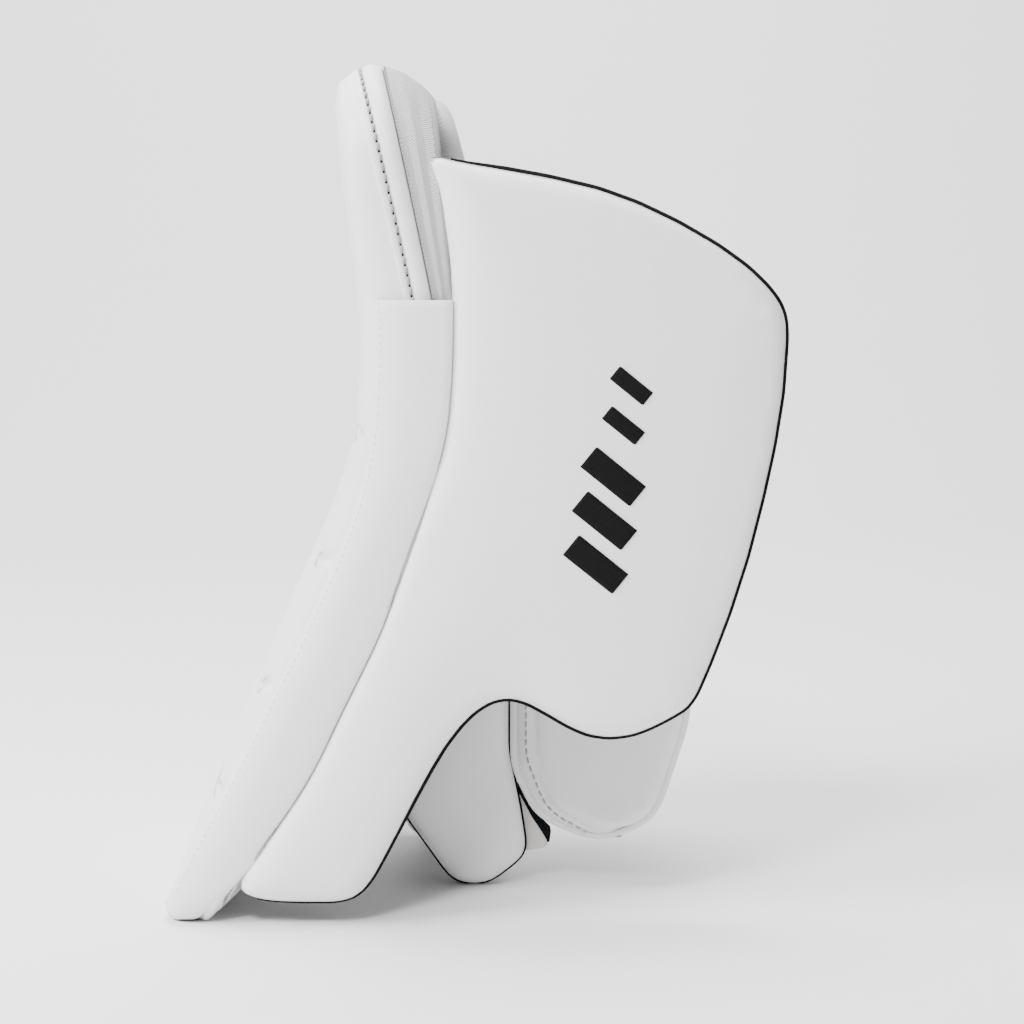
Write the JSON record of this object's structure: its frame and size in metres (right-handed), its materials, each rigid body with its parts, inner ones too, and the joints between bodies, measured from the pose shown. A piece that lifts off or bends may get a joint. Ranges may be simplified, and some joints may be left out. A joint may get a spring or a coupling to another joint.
{
  "type": "goalie blocker glove",
  "caption": "Ice hockey goalie blocker: a bent padded face board with a side board, and a strapped glove with finger guards behind it, standing on its toe.",
  "frame": {"origin": "centre of the footprint, on the floor the part stands on", "axes": "+X from the face board towards the palm, +Y from the thumb side to the little finger side, +Z from the fingers up the forearm"},
  "size_m": [0.2672, 0.2114, 0.368],
  "materials": {
    "face_pu": "smooth white PU leather",
    "edge_pu": "smooth white PU leather",
    "welt_pu": "stitched light grey PU leather",
    "tape": "white herringbone woven tape",
    "foam": "closed-cell foam under the covers",
    "stiffener": "flat black sheet",
    "grey_fabric": "light grey woven nylon over foam",
    "black_nylon": "black woven nylon",
    "black_binding": "black folded binding tape",
    "thread": "black satin-stitch embroidery",
    "palm_leather": "soft off-white palm leather",
    "white_pad": "white PU leather over foam",
    "hook_loop": "black hook-and-loop tape",
    "tab": "black moulded rubber"
  },
  "bodies": {
    "board": {"backhand_pad": "grey_fabric", "board_stiffener": "stiffener", "cuff_lining": "black_nylon", "cuff_pad": "grey_fabric", "edge_cover": "edge_pu", "edge_tape": "tape", "edge_welt": "welt_pu", "face_panel_lower": "face_pu", "face_panel_middle": "face_pu", "face_panel_upper": "face_pu", "forearm_pad": "grey_fabric", "front_foam": "foam", "index_guard_cover": "white_pad", "index_guard_foam": "foam", "index_guard_lining": "black_nylon", "little_guard_cover": "white_pad", "little_guard_foam": "foam", "little_guard_lining": "black_nylon", "little_side_gusset": "palm_leather", "loop_patch": "hook_loop", "palm_leather": "palm_leather", "rear_cover": "black_nylon", "rear_foam": "foam", "side_binding": "black_binding", "side_cover": "face_pu", "side_foam_inner": "foam", "side_foam_outer": "foam", "side_lining": "black_nylon", "side_mark": "thread", "side_stiffener": "stiffener", "side_wrap": "face_pu", "thumb_side_gusset": "palm_leather", "toe_cap": "edge_pu"},
    "index_finger": {"index_finger_back": "white_pad", "index_finger_palm": "palm_leather"},
    "middle_finger": {"middle_finger_back": "white_pad", "middle_finger_palm": "palm_leather"},
    "ring_finger": {"ring_finger_back": "white_pad", "ring_finger_palm": "palm_leather"},
    "little_finger": {"little_finger_back": "white_pad", "little_finger_palm": "palm_leather"},
    "thumb": {"thumb_back": "white_pad", "thumb_palm": "palm_leather", "thumb_guard_cover": "white_pad", "thumb_guard_foam": "foam", "thumb_guard_lining": "black_nylon"},
    "cuff_flap": {"cuff_flap_pad": "grey_fabric", "cuff_flap_lining": "black_nylon", "strap_anchor": "hook_loop"},
    "wrist_strap": {"wrist_strap": "hook_loop", "hook_patch": "hook_loop", "pull_tab": "tab"}
  },
  "joints": [
    {"name": "index_knuckle", "type": "hinge", "parent": "board", "child": "index_finger", "pos_m": [-0.02446, -0.02135, 0.06407], "axis": [0, -1, 0], "range_deg": [-25, 15]},
    {"name": "middle_knuckle", "type": "hinge", "parent": "board", "child": "middle_finger", "pos_m": [-0.02446, -0.00035, 0.06407], "axis": [0, -1, 0], "range_deg": [-25, 15]},
    {"name": "ring_knuckle", "type": "hinge", "parent": "board", "child": "ring_finger", "pos_m": [-0.02446, 0.02065, 0.06407], "axis": [0, -1, 0], "range_deg": [-25, 15]},
    {"name": "little_knuckle", "type": "hinge", "parent": "board", "child": "little_finger", "pos_m": [-0.02446, 0.04165, 0.06407], "axis": [0, -1, 0], "range_deg": [-25, 15]},
    {"name": "thumb_base", "type": "hinge", "parent": "board", "child": "thumb", "pos_m": [0.03516, -0.02135, 0.1099], "axis": [0, -1, 0], "range_deg": [0, 35]},
    {"name": "cuff_flap_hinge", "type": "hinge", "parent": "board", "child": "cuff_flap", "pos_m": [0.02336, 0.05565, 0.228], "axis": [0, 0, 1], "range_deg": [0, 35]},
    {"name": "strap_hinge", "type": "hinge", "parent": "cuff_flap", "child": "wrist_strap", "pos_m": [0.07936, 0.05165, 0.228], "axis": [0, 0, 1], "range_deg": [0, 110]}
  ]
}
